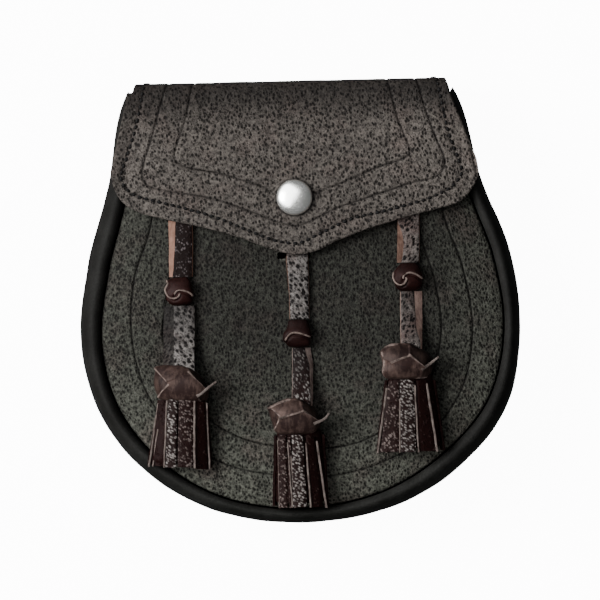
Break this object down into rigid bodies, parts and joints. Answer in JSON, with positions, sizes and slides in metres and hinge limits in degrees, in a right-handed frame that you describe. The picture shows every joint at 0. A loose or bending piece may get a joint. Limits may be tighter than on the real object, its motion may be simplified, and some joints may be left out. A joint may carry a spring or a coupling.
{
  "type": "sporran pouch",
  "caption": "Rounded leather sporran pouch lying on its back, with a snap flap, a puffed gusset, knotted thongs with fringed tassels, and belt loops behind.",
  "frame": {"origin": "on the surface that the pouch lies on, under the middle of its bounding box", "axes": "+Z out of the front of the pouch, +Y up towards the fold of the flap, +X to the right as seen from the front"},
  "size_m": [0.1902, 0.1906, 0.0513],
  "materials": {
    "flap_leather": "satin, pebbled",
    "panel_leather": "satin, finely grained",
    "gusset_leather": "smooth satin",
    "back_leather": "smooth matte",
    "thong_leather": "glossy, pebbled, with pale cut edges",
    "fringe_leather": "glossy, pebbled, with pale cut edges",
    "head_leather": "smooth satin",
    "cut_edge": "raw cut edge",
    "thread": "waxed thread",
    "nickel": "satin nickel"
  },
  "bodies": {
    "root": {"gusset": "gusset_leather", "front_panel": "panel_leather", "back_panel": "back_leather", "flap": "flap_leather", "stud_cap": "nickel", "snap_post": "nickel", "left_upper_thong": "thong_leather", "left_knot": "thong_leather", "left_lower_thong": "thong_leather", "left_tassel_head": "head_leather", "left_tassel_skirt": "fringe_leather", "middle_upper_thong": "thong_leather", "middle_knot": "thong_leather", "middle_lower_thong": "thong_leather", "middle_tassel_head": "head_leather", "middle_tassel_skirt": "fringe_leather", "right_upper_thong": "thong_leather", "right_knot": "thong_leather", "right_lower_thong": "thong_leather", "right_tassel_head": "head_leather", "right_tassel_skirt": "fringe_leather", "left_belt_loop": "back_leather", "right_belt_loop": "back_leather"}
  },
  "joints": []
}
